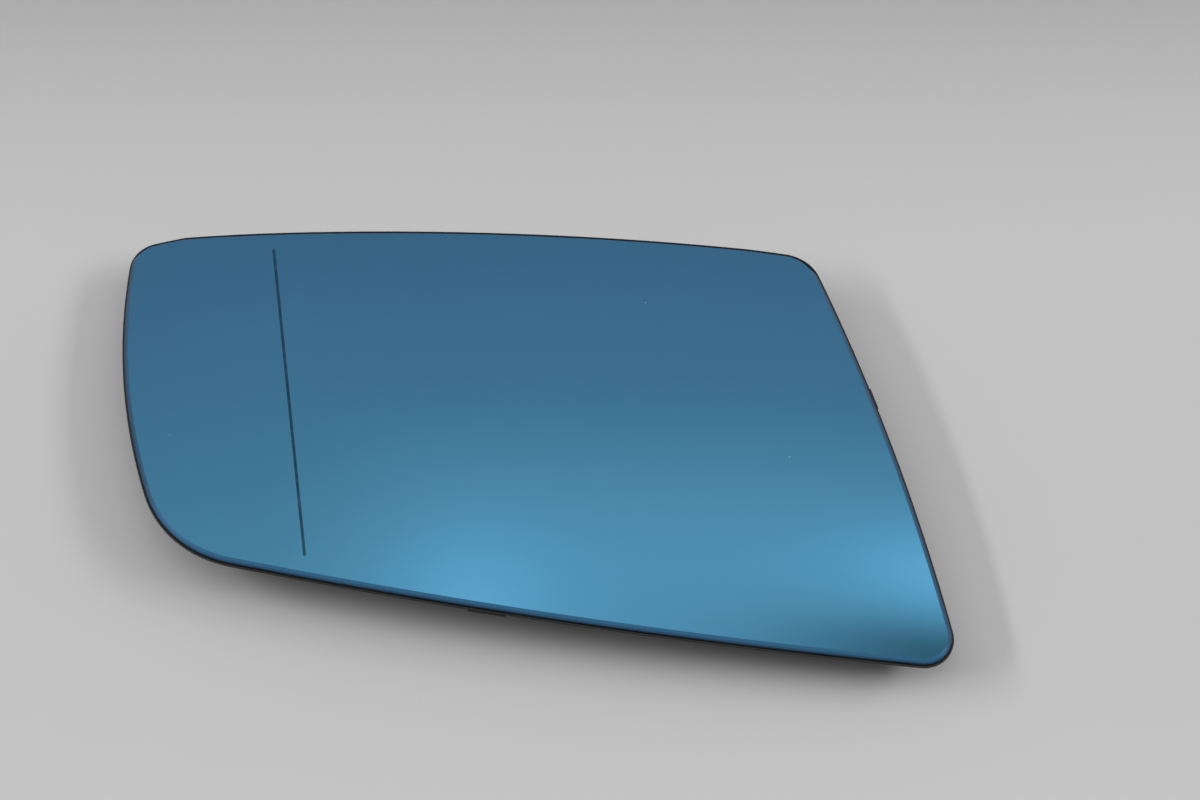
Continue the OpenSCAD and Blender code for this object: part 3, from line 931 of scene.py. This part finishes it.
# Thin marks along one direction, broken up by a slower noise
def buildScuffs():
    tree, given, out = shaderGroup(
        "scuffs", [("Vector", "Vector"), ("Scale", "Float"), ("Stretch", "Float"), ("Turn", "Float"), ("Amount", "Float")],
        [("Mask", "Float")],
    )
    turned = addNode(tree, "ShaderNodeVectorRotate", {"Vector": given["Vector"], "Angle": given["Turn"]})
    squeeze = addNode(tree, "ShaderNodeCombineXYZ", {"X": 1.0, "Y": given["Stretch"], "Z": 1.0})
    pulled = addNode(tree, "ShaderNodeVectorMath", {0: turned.outputs[0], 1: squeeze.outputs[0]}, operation="MULTIPLY")
    lines = noise(tree, pulled.outputs[0], given["Scale"], 2.0, 0.6)
    patches = noise(tree, given["Vector"], maths(tree, "MULTIPLY", given["Scale"], 0.35), 2.0)
    thin = ramp(tree, lines, maths(tree, "SUBTRACT", 0.8, maths(tree, "MULTIPLY", given["Amount"], 0.25)), 0.85)
    put(tree, out["Mask"], maths(tree, "MULTIPLY", thin, ramp(tree, patches, 0.45, 0.65)))
    return tree


# Slow cloudy change between 0 and 1, at two sizes
def buildMottle():
    tree, given, out = shaderGroup("mottle", [("Vector", "Vector"), ("Scale", "Float")], [("Value", "Float")])
    wide = noise(tree, given["Vector"], given["Scale"], 2.0)
    fine = noise(tree, given["Vector"], maths(tree, "MULTIPLY", given["Scale"], 7.0), 3.0, 0.6)
    both = maths(tree, "ADD", maths(tree, "MULTIPLY", wide, 0.65), maths(tree, "MULTIPLY", fine, 0.35))
    put(tree, out["Value"], ramp(tree, both, 0.3, 0.7))
    return tree


# Fine moulded or foamed grain, as a normal and a height
def buildGrain():
    tree, given, out = shaderGroup(
        "grain", [("Vector", "Vector"), ("Scale", "Float"), ("Depth", "Float")],
        [("Normal", "Vector"), ("Height", "Float")],
    )
    cells = addNode(tree, "ShaderNodeTexVoronoi", {"Vector": given["Vector"], "Scale": given["Scale"]}, feature="SMOOTH_F1")
    soft = noise(tree, given["Vector"], maths(tree, "MULTIPLY", given["Scale"], 1.7), 3.0)
    height = maths(tree, "ADD", maths(tree, "MULTIPLY", cells.outputs["Distance"], 0.6), maths(tree, "MULTIPLY", soft, 0.4))
    bump = addNode(tree, "ShaderNodeBump", {"Height": height, "Distance": given["Depth"], "Strength": 1.0})
    put(tree, out["Normal"], bump.outputs[0])
    put(tree, out["Height"], height)
    return tree


specks, scuffs, mottle, grain = buildSpecks(), buildScuffs(), buildMottle(), buildGrain()


def startMaterial(name):
    material = bpy.data.materials.new(name)
    material.use_nodes = True
    tree = material.node_tree
    shader = tree.nodes["Principled BSDF"]
    place = tree.nodes.new("ShaderNodeTexCoord").outputs["Object"]
    return material, tree, shader, place


def useGroup(tree, group, inputs):
    node = tree.nodes.new("ShaderNodeGroup")
    node.node_tree = group
    for name, value in inputs.items():
        put(tree, node.inputs[name], value)
    return node.outputs


def blendColours(tree, factor, a, b, kind="MIX"):
    node = tree.nodes.new("ShaderNodeMix")
    node.data_type, node.blend_type = "RGBA", kind
    for index, value in ((0, factor), (6, a), (7, b)):
        put(tree, node.inputs[index], value if isinstance(value, (float, bpy.types.NodeSocket)) else (*value, 1))
    return node.outputs[2]


def paint(tree, shader, values):
    for name, value in values.items():
        colour = isinstance(value, tuple) and len(value) == 3
        put(tree, shader.inputs[name], (*value, 1) if colour else value)


def coatingMaterial():
    material, tree, shader, place = startMaterial("mirrorCoating")
    cloud = useGroup(tree, mottle, {"Vector": place, "Scale": 14.0})["Value"]
    dust = useGroup(tree, specks, {"Vector": place, "Scale": 260.0, "Amount": 0.02, "Size": 0.07})["Mask"]
    wipe = useGroup(tree, scuffs, {"Vector": place, "Scale": 60.0, "Stretch": 9.0, "Turn": 0.5, "Amount": 0.2})["Mask"]
    tint = blendColours(tree, cloud, (0.072, 0.396, 0.675), (0.079, 0.407, 0.691))
    rough = maths(tree, "ADD", 0.025, maths(tree, "MULTIPLY", cloud, 0.02))
    rough = maths(tree, "ADD", rough, maths(tree, "MULTIPLY", wipe, 0.05))
    rough = maths(tree, "ADD", rough, maths(tree, "MULTIPLY", dust, 0.4))
    paint(tree, shader, {
        "Base Color": blendColours(tree, maths(tree, "MULTIPLY", dust, 0.35), tint, (0.45, 0.6, 0.7)),
        "Metallic": 1.0,
        "Roughness": rough,
        "Coat Weight": 1.0,
        "Coat Roughness": 0.02,
    })
    return material


# The ground bevel, with painted light and shade: a painted dark band along its outer side that reaches nearly across
# the bevel where it faces the top edge, lighter painted tints where it faces the top and bottom edges, and painted
# shade towards its outer side
def bevelMaterial():
    material, tree, shader, place = startMaterial("groundBevel")
    along = addNode(tree, "ShaderNodeUVMap", uv_map="edge").outputs[0]
    facing = addNode(tree, "ShaderNodeSeparateXYZ", {"Vector": place.node.outputs["Normal"]}).outputs["Y"]
    depth = addNode(tree, "ShaderNodeSeparateXYZ", {"Vector": along}).outputs["Y"]
    lines = useGroup(tree, scuffs, {"Vector": along, "Scale": 900.0, "Stretch": 12.0, "Turn": 0.0, "Amount": 1.0})["Mask"]
    cloud = useGroup(tree, mottle, {"Vector": place, "Scale": 60.0})["Value"]
    top, bottom = ramp(tree, facing, 0.15, 0.45), ramp(tree, facing, -0.15, -0.45)
    tint = blendColours(tree, cloud, (0.028, 0.088, 0.165), (0.034, 0.1, 0.182))
    # painted light: the bevel is tinted lighter where it faces the top or the bottom edge
    tint = blendColours(tree, top, tint, (0.07, 0.19, 0.32))
    tint = blendColours(tree, bottom, tint, (0.05, 0.18, 0.34))
    tint = blendColours(tree, maths(tree, "MULTIPLY", lines, 0.2), tint, (0.15, 0.32, 0.45))
    # painted shade: the bevel darkens towards its outer side
    tint = blendColours(tree, ramp(tree, depth, -0.25 * mm, -0.8 * mm, 0.0, 0.7), tint, (0.016, 0.035, 0.075))
    # painted shade: a dark band on the bevel's outer side, reaching nearly across it where the bevel faces the top
    # edge; it also lowers the specular level there
    ragged = maths(tree, "MULTIPLY", maths(tree, "SUBTRACT", noise(tree, place, 400.0), 0.5), 0.1 * mm)
    reach = maths(tree, "ADD", ramp(tree, top, 0.0, 1.0, -0.72 * mm, -0.04 * mm), ragged)
    past = maths(tree, "SUBTRACT", depth, reach)
    paintedEdgeShade = maths(tree, "MULTIPLY", ramp(tree, past, 0.02 * mm, -0.02 * mm), ramp(tree, maths(tree, "ABSOLUTE", facing), 0.1, 0.3))
    paint(tree, shader, {
        "Base Color": blendColours(tree, paintedEdgeShade, tint, blendColours(tree, top, (0.015, 0.026, 0.052), (0.003, 0.004, 0.006))),
        "Metallic": 0.15,
        "Roughness": ramp(tree, cloud, 0.0, 1.0, 0.26, 0.34),
        "Specular IOR Level": ramp(tree, paintedEdgeShade, 0.0, 1.0, 0.2, 0.0, "LINEAR"),
    })
    return material


def edgeMaterial():
    material, tree, shader, place = startMaterial("glassEdge")
    cloud = useGroup(tree, mottle, {"Vector": place, "Scale": 90.0})["Value"]
    normal = useGroup(tree, grain, {"Vector": place, "Scale": 5000.0, "Depth": 0.02 * mm})["Normal"]
    paint(tree, shader, {
        "Base Color": blendColours(tree, cloud, (0.008, 0.020, 0.026), (0.016, 0.036, 0.044)),
        "Roughness": ramp(tree, cloud, 0.0, 1.0, 0.3, 0.45),
        "Normal": normal,
    })
    return material


def lineMaterial():
    material, tree, shader, place = startMaterial("dividingLine")
    cloud = useGroup(tree, mottle, {"Vector": place, "Scale": 400.0})["Value"]
    paint(tree, shader, {
        "Base Color": blendColours(tree, cloud, (0.034, 0.115, 0.19), (0.044, 0.14, 0.23)),
        "Metallic": 0.95,
        "Roughness": ramp(tree, cloud, 0.0, 1.0, 0.16, 0.3),
        "Specular IOR Level": 0.2,
    })
    return material


def plasticMaterial():
    material, tree, shader, place = startMaterial("carrierPlastic")
    fine = useGroup(tree, grain, {"Vector": place, "Scale": 3200.0, "Depth": 0.03 * mm})
    cloud = useGroup(tree, mottle, {"Vector": place, "Scale": 26.0})["Value"]
    marks = useGroup(tree, scuffs, {"Vector": place, "Scale": 160.0, "Stretch": 14.0, "Turn": 0.9, "Amount": 0.5})["Mask"]
    dust = useGroup(tree, specks, {"Vector": place, "Scale": 420.0, "Amount": 0.03, "Size": 0.07})["Mask"]
    tint = blendColours(tree, cloud, (0.0115, 0.0118, 0.0125), (0.018, 0.0185, 0.0195))
    tint = blendColours(tree, maths(tree, "MULTIPLY", marks, 0.5), tint, (0.06, 0.06, 0.062))
    rough = ramp(tree, fine["Height"], 0.2, 0.7, 0.42, 0.56)
    paint(tree, shader, {
        "Base Color": blendColours(tree, maths(tree, "MULTIPLY", dust, 0.5), tint, (0.16, 0.155, 0.15)),
        "Roughness": maths(tree, "ADD", rough, maths(tree, "MULTIPLY", marks, 0.12)),
        "Specular IOR Level": 0.3,
        "Normal": fine["Normal"],
    })
    return material


def brassMaterial():
    material, tree, shader, place = startMaterial("terminalBrass")
    cloud = useGroup(tree, mottle, {"Vector": place, "Scale": 220.0})["Value"]
    marks = useGroup(tree, scuffs, {"Vector": place, "Scale": 1500.0, "Stretch": 10.0, "Turn": 0.2, "Amount": 0.8})["Mask"]
    tint = blendColours(tree, cloud, (0.62, 0.44, 0.17), (0.74, 0.55, 0.26))
    paint(tree, shader, {
        "Base Color": blendColours(tree, maths(tree, "MULTIPLY", marks, 0.4), tint, (0.85, 0.74, 0.5)),
        "Metallic": 1.0,
        "Roughness": ramp(tree, cloud, 0.0, 1.0, 0.24, 0.4),
    })
    return material


def filmMaterial():
    material, tree, shader, place = startMaterial("heaterFilm")
    cloud = useGroup(tree, mottle, {"Vector": place, "Scale": 40.0})["Value"]
    paint(tree, shader, {
        "Base Color": blendColours(tree, cloud, (0.44, 0.28, 0.07), (0.52, 0.36, 0.11)),
        "Roughness": ramp(tree, cloud, 0.0, 1.0, 0.2, 0.32),
        "Coat Weight": 0.4,
    })
    return material


def foilMaterial():
    material, tree, shader, place = startMaterial("heaterFoil")
    cloud = useGroup(tree, mottle, {"Vector": place, "Scale": 70.0})["Value"]
    rolled = useGroup(tree, scuffs, {"Vector": place, "Scale": 900.0, "Stretch": 20.0, "Turn": 0.0, "Amount": 0.9})["Mask"]
    tint = blendColours(tree, cloud, (0.55, 0.56, 0.57), (0.68, 0.69, 0.70))
    paint(tree, shader, {
        "Base Color": blendColours(tree, maths(tree, "MULTIPLY", rolled, 0.3), tint, (0.4, 0.4, 0.41)),
        "Metallic": 1.0,
        "Roughness": ramp(tree, cloud, 0.0, 1.0, 0.28, 0.42),
    })
    return material


def foamMaterial():
    material, tree, shader, place = startMaterial("foamTape")
    cells = useGroup(tree, grain, {"Vector": place, "Scale": 2400.0, "Depth": 0.12 * mm})
    cloud = useGroup(tree, mottle, {"Vector": place, "Scale": 80.0})["Value"]
    paint(tree, shader, {
        "Base Color": blendColours(tree, cloud, (0.022, 0.022, 0.024), (0.045, 0.045, 0.048)),
        "Roughness": ramp(tree, cells["Height"], 0.1, 0.7, 0.95, 0.75),
        "Normal": cells["Normal"],
    })
    return material


def gumMaterial():
    material, tree, shader, place = startMaterial("clearGum")
    cloud = useGroup(tree, mottle, {"Vector": place, "Scale": 60.0})["Value"]
    bubbles = useGroup(tree, specks, {"Vector": place, "Scale": 700.0, "Amount": 0.1, "Size": 0.2})["Mask"]
    tint = blendColours(tree, cloud, (0.42, 0.40, 0.33), (0.55, 0.53, 0.46))
    paint(tree, shader, {
        "Base Color": blendColours(tree, maths(tree, "MULTIPLY", bubbles, 0.5), tint, (0.7, 0.7, 0.68)),
        "Roughness": ramp(tree, cloud, 0.0, 1.0, 0.35, 0.5),
        "Subsurface Weight": 0.2,
        "Subsurface Scale": 0.5 * mm,
    })
    return material


# Studio
stage = {
    "floorSize": 6.0,
    # painted light: the floor is lighter in front of the object, from frontStart to frontEnd
    "frontPaintedLightGrey": (0.581, 0.584, 0.579),
    "frontStart": -0.02,
    "frontEnd": -0.1,
    "nearGrey": (0.547, 0.553, 0.547),
    # painted shade: the floor is darker further back, from gradientStart to gradientEnd
    "farPaintedShadeGrey": (0.385, 0.386, 0.385),
    "gradientStart": 0.05,
    "gradientEnd": 0.142,
    "gradientPower": 1.8,
    "look": Vector((16.8, 8.5, 12.45)) * mm,
    "distance": 527 * mm,
    "elevation": math.radians(60),
    "view": math.radians(28),
    "sensor": 36.0,
}


def buildFloor():
    s = stage
    material, tree, shader, place = startMaterial("paperSheet")
    y = addNode(tree, "ShaderNodeSeparateXYZ", {"Vector": place}).outputs["Y"]
    # painted shade: the floor darkens towards the back
    shade = maths(tree, "POWER", ramp(tree, y, s["gradientStart"], s["gradientEnd"], kind="LINEAR"), s["gradientPower"])
    cloud = useGroup(tree, mottle, {"Vector": place, "Scale": 9.0})["Value"]
    # painted light: the floor is lighter in front of the object
    tint = blendColours(tree, ramp(tree, y, s["frontStart"], s["frontEnd"]), s["nearGrey"], s["frontPaintedLightGrey"])
    tint = blendColours(tree, shade, tint, s["farPaintedShadeGrey"])
    paint(tree, shader, {
        "Base Color": blendColours(tree, maths(tree, "MULTIPLY", cloud, 0.03), tint, (0.4, 0.4, 0.4)),
        "Roughness": 0.9,
        "Specular IOR Level": 0.1,
    })
    half = s["floorSize"] / 2
    corners = [(-half, -half, 0), (half, -half, 0), (half, half, 0), (-half, half, 0)]
    floor = newObject("paperFloor", corners, [(0, 1, 2, 3)], False)
    floor.data.materials.append(material)


# Sky as a function of direction: u and v are where a ray meets a ceiling one unit above
sky = {
    "panel": (0.643, 0.362, 0.417, 0.64),  # near and far level of the dim ceiling, and where it falls off
    "panelSlope": -0.47,
    "overhead": 1.3,
    "room": 0.5,
    "front": 0.04,
    "frontLow": 0.15,
    # place, size and height of the soft spots
    "spots": [
        ((-0.072, 0.39), (0.062, 0.062), 0.195),
        ((0.32, 0.437), (0.091, 0.044), 0.251),
        ((0.32, 0.361), (0.158, 0.034), -0.451),
    ],
    "outerFall": (-0.137, -0.271, -0.07),
    "tint": (1.11, 1.0, 1.13),
}


def buildSky():
    world = bpy.data.worlds.new("studioSky")
    bpy.context.scene.world = world
    world.use_nodes = True
    tree = world.node_tree
    ray = addNode(tree, "ShaderNodeSeparateXYZ", {"Vector": tree.nodes.new("ShaderNodeTexCoord").outputs["Generated"]})
    up = maths(tree, "MAXIMUM", ray.outputs["Z"], 0.02)
    u = maths(tree, "DIVIDE", ray.outputs["X"], up)
    v = maths(tree, "DIVIDE", ray.outputs["Y"], up)

    def add(a, b):
        return maths(tree, "ADD", a, b)

    def times(a, b):
        return maths(tree, "MULTIPLY", a, b)

    def toward(level, goal, share):
        return add(level, times(maths(tree, "SUBTRACT", goal, level), share))

    uPanel = maths(tree, "MINIMUM", maths(tree, "MAXIMUM", u, -0.5), 0.35)
    vPanel = maths(tree, "MINIMUM", maths(tree, "MAXIMUM", v, 0.35), 0.85)
    near, far, start, end = sky["panel"]
    level = ramp(tree, vPanel, start, end, near, far)
    past = maths(tree, "MAXIMUM", maths(tree, "SUBTRACT", vPanel, end), 0.0)
    level = add(level, times(past, sky["panelSlope"]))
    for centre, size, height in sky["spots"]:
        parts = [
            maths(tree, "DIVIDE", maths(tree, "SUBTRACT", w, c), s)
            for w, c, s in zip((uPanel, vPanel), centre, size)
        ]
        square = add(times(parts[0], parts[0]), times(parts[1], parts[1]))
        level = add(level, times(maths(tree, "EXPONENT", times(square, -1.0)), height))
    drop, outer, inner = sky["outerFall"]
    level = add(level, times(ramp(tree, uPanel, outer, inner, drop, 0.0), ramp(tree, vPanel, 0.45, 0.62, 1.0, 0.0)))

    wide = maths(tree, "SQRT", add(times(u, u), times(v, v)))
    level = toward(level, sky["overhead"], ramp(tree, v, 0.36, 0.2))
    level = toward(level, sky["overhead"], ramp(tree, maths(tree, "ABSOLUTE", u), 0.55, 0.95))
    level = toward(level, sky["overhead"], ramp(tree, v, 1.5, 2.7))
    level = toward(level, sky["room"], ramp(tree, wide, 0.8, 1.7))
    front = ramp(tree, wide, 1.7, 2.8, sky["front"], sky["frontLow"])
    level = toward(level, front, ramp(tree, v, -0.26, -0.42))
    background = tree.nodes["Background"]
    tinted = times(ramp(tree, v, 0.42, 0.84), ramp(tree, wide, 1.5, 0.9))
    put(tree, background.inputs["Color"], blendColours(tree, tinted, (1.0, 1.0, 1.0), sky["tint"]))
    put(tree, background.inputs["Strength"], level)


lamps = {
    # direction that the light comes from (degrees round and up), distance, width, height,
    # slide along its width, watts
    "leftLamp": (189, 34.5, 2.4, 1.68, 0.19, -0.4, 22.8),
    "rightLamp": (0, 33, 2.4, 1.44, 0.45, 0.22, 22.6),
}


def buildLamps():
    for name, (around, up, distance, width, height, slide, power) in lamps.items():
        light = bpy.data.lights.new(name, "AREA")
        light.shape, light.size, light.size_y, light.energy = "RECTANGLE", width, height, power
        lamp = bpy.data.objects.new(name, light)
        a, e = math.radians(around), math.radians(up)
        way = Vector((math.cos(e) * math.cos(a), math.cos(e) * math.sin(a), math.sin(e)))
        lamp.location = way * distance + Vector((-math.sin(a), math.cos(a), 0)) * slide
        lamp.rotation_euler = way.to_track_quat("Z", "Y").to_euler()
        bpy.context.scene.collection.objects.link(lamp)


def buildCamera():
    s = stage
    data = bpy.data.cameras.new("mainCamera")
    data.sensor_width = s["sensor"]
    data.lens = s["sensor"] / 2 / math.tan(s["view"] / 2)
    data.clip_start = 0.01
    camera = bpy.data.objects.new("mainCamera", data)
    way = Vector((0, -math.cos(s["elevation"]), math.sin(s["elevation"])))
    camera.location = s["look"] + way * s["distance"]
    camera.rotation_euler = way.to_track_quat("Z", "Y").to_euler()
    bpy.context.scene.collection.objects.link(camera)
    bpy.context.scene.camera = camera
    bpy.context.scene.view_settings.view_transform = "Standard"


def carryOver(node, material):
    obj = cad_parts[node]
    obj.data.materials.clear()
    obj.data.materials.append(material)


plastic, brass = plasticMaterial(), brassMaterial()
glass = buildMirrorGlass(coatingMaterial(), bevelMaterial(), edgeMaterial(), lineMaterial())
print("mirrorGlass", len(glass.data.polygons))
plate = buildCarrierPlate(plastic)
print("carrierPlate", len(plate.data.polygons))
buildBlade("terminalBladeUpper", 1, "terminal_blade_upper", brass)
buildBlade("terminalBladeLower", -1, "terminal_blade_lower", brass)
buildRivets(brass)
print("terminals")
carryOver("heater_adhesive", gumMaterial())
carryOver("heater_film", filmMaterial())
carryOver("heater_track", foilMaterial())
carryOver("carrier_adhesive", foamMaterial())
buildFloor()
buildSky()
buildLamps()
buildCamera()
print("studio")
